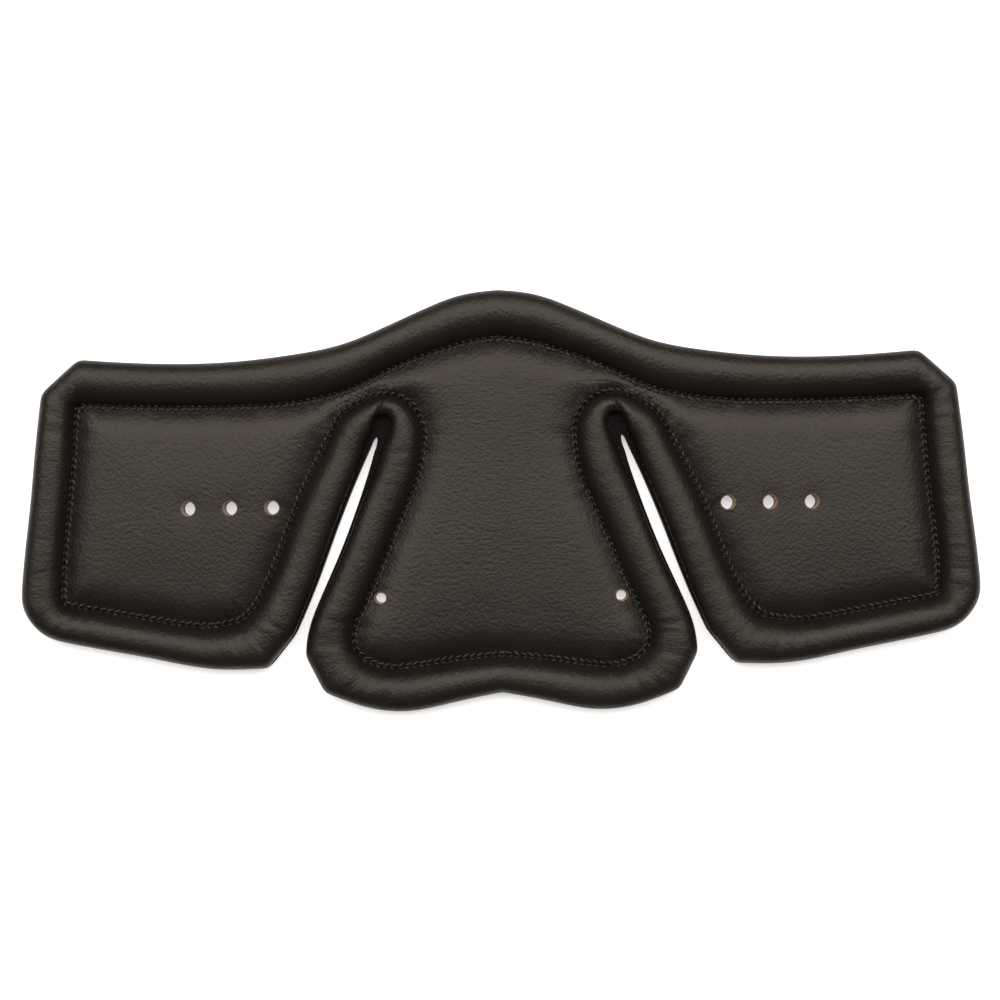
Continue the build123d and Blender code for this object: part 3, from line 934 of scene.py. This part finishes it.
print("cover, lining and core")
flatSheets = {"step": 1.6, "grid": 3.0, "shares": (0.0, 0.02, 0.5, 1.0), "sharpAngle": 35}
coarseEdge, coarseSeam, coarseFoot = rimColumns(flatSheets["step"])
coarsePanel = fillPanel(coarseSeam, flatSheets["grid"])
for side, sign in sides.items():
    vertices, faces, values = halfSurface(edge, seam, foot, heights, panel, sign)
    skin = newPiece(side + "Cover", vertices, faces)
    for name, numbers in values.items():
        giveValues(skin, name, numbers)
    wall = skin.modifiers.new("thickness", "SOLIDIFY")
    wall.thickness = cover["thickness"]
    wall.offset = -1.0
    wall.use_rim = True
    bakeModifiers(skin)
    markCuts(skin)
    smoothShade(skin)
    skin.data.materials.append(blackNappa)
    standFor(skin, side, "cover")

    for layer, low, high, leather in (("lining", levels["lining"], levels["coreBottom"], blackLining),
                                      ("core", levels["coreBottom"], levels["coreTop"], tanCore)):
        shares = flatSheets["shares"]
        flat, faces = handed(*sheetRegion(coarseEdge, coarseSeam, coarsePanel, shares, high), sign)
        sheet = closedBody(side + layer.capitalize(), flat, faces, low)
        outer = np.zeros(len(flat))
        outer[:len(coarseEdge) * len(shares):len(shares)] = 1.0
        giveValues(sheet, "outerEdge", np.concatenate([outer, outer]))
        markCuts(sheet)
        smoothShade(sheet, flatSheets["sharpAngle"])
        sheet.data.materials.append(leather)
        standFor(sheet, side, layer)

print("padding")
padding = {
    # across the roll: share of the way from foot to seam, share of the height
    "roll": [(0.05, 0.0), (0.09, 0.45), (0.17, 0.72), (0.28, 0.90), (0.40, 1.0), (0.54, 0.93), (0.66, 0.76),
             (0.75, 0.52), (0.82, 0.20), (0.84, 0.0)],
    "room": 0.45,      # mm left under the cover
    "least": 0.02,     # mm of padding at its thinnest
}
coarseHeights = rollHeights(coarseEdge, coarseSeam, coarseFoot)
lowest = levels["coreTop"] / mm + padding["least"]

across, up = np.array(padding["roll"]).T
share = coarseFoot[:, None] + (1 - coarseFoot[:, None]) * across
flat = coarseEdge[:, None] + (coarseSeam - coarseEdge)[:, None] * share[..., None]
tall = coarseHeights * (levels["crest"] - levels["flange"]) / mm - padding["room"]
rollTop = np.concatenate([flat, (lowest + tall[:, None] * up)[..., None]], axis=2).reshape(-1, 3) * mm
rollFaces = upwardQuads(np.arange(len(rollTop)).reshape(share.shape))

points, faces = coarsePanel
height = panelHeights(points, coarseSeam, coarseHeights)[0] - cover["thickness"] / mm - padding["room"]
panelTop = np.column_stack([points, np.maximum(height, lowest)]) * mm
panelFaces = plainFaces(faces)

for side, sign in sides.items():
    for layer, top, faces, felt, fill in (("roll", rollTop, rollFaces, rollFelt, 0.8),
                                          ("panel", panelTop, panelFaces, panelFelt, 0.7)):
        top, faces = handed(top, faces, sign)
        pad = closedBody(side + layer.capitalize() + "Pad", top, faces, levels["coreTop"])
        smoothShade(pad)
        pad.data.materials.append(felt)
        standFor(pad, side, layer + "_padding")

print("stitches")
stitchNodes = makeStitchNodes()
seamLine = np.column_stack([seam, seamHeights(heights) + seamStitch["lift"]])
flangeMiddle = edge + (seam - edge) * (foot * edgeStitch["across"])[:, None]
edgeLine = np.column_stack([flangeMiddle, np.full(len(edge), levels["flange"] / mm + edgeStitch["lift"])])
for side, sign in sides.items():
    for run, line, look, thread in (("seam", seamLine, seamStitch, seamThread),
                                    ("edge", edgeLine, edgeStitch, edgeThread)):
        name = side + run.capitalize() + "Stitches"
        stitches = stitchLine(name, line * np.array([sign, 1.0, 1.0]), look, stitchNodes, thread)
        standFor(stitches, side, run + "_thread")

print("camera, light and floor")
view = {"distance": 0.75, "frameWidth": 0.3603, "planeHeight": 0.007, "roll": -0.012, "sensor": 36.0}
cameraData = bpy.data.cameras.new("camera")
cameraData.sensor_width = view["sensor"]
cameraData.lens = view["sensor"] * view["distance"] / view["frameWidth"]
cameraData.clip_start = 0.01
camera = bpy.data.objects.new("camera", cameraData)
camera.location = (0.0, 0.0, view["planeHeight"] + view["distance"])
camera.rotation_euler = (0.0, 0.0, view["roll"])
bpy.context.scene.collection.objects.link(camera)
bpy.context.scene.camera = camera

softLight = {"size": (2.3, 0.95), "place": (0.0, 0.42, 1.15), "power": 33.0, "colour": (1.0, 0.945, 0.90)}
lightData = bpy.data.lights.new("overheadSoftbox", "AREA")
lightData.shape = "RECTANGLE"
lightData.size, lightData.size_y = softLight["size"]
lightData.energy = softLight["power"]
lightData.color = softLight["colour"]
light = bpy.data.objects.new("overheadSoftbox", lightData)
light.location = softLight["place"]
light.rotation_euler = Vector(softLight["place"]).to_track_quat("Z", "Y").to_euler()
bpy.context.scene.collection.objects.link(light)

studio = {"colour": (0.95, 0.97, 1.0, 1.0), "strength": 0.12}
world = bpy.data.worlds.new("studio")
world.use_nodes = True
background = world.node_tree.nodes["Background"]
background.inputs["Color"].default_value = studio["colour"]
background.inputs["Strength"].default_value = studio["strength"]
bpy.context.scene.world = world
bpy.context.scene.view_settings.view_transform = "Standard"

paleFloor = {"reach": 3.0, "dark": (0.90, 0.90, 0.90, 1.0), "light": (0.93, 0.93, 0.93, 1.0),
             "roughness": 0.8, "glow": 0.45}
floorMaterial, t, place = newMaterial("paleFloor")
floorBase = t.mix(t.noise(place, 3.0), paleFloor["dark"], paleFloor["light"])
finishMaterial(t, floorBase, paleFloor["roughness"], t.add("ShaderNodeNewGeometry").outputs["Normal"],
               {"Emission Color": (1.0, 1.0, 1.0, 1.0), "Emission Strength": paleFloor["glow"]})
corners = np.array([(-1, -1, 0), (1, -1, 0), (1, 1, 0), (-1, 1, 0)]) * paleFloor["reach"]
floor = newPiece("paleFloor", corners, [(0, 1, 2, 3)])
floor.data.materials.append(floorMaterial)
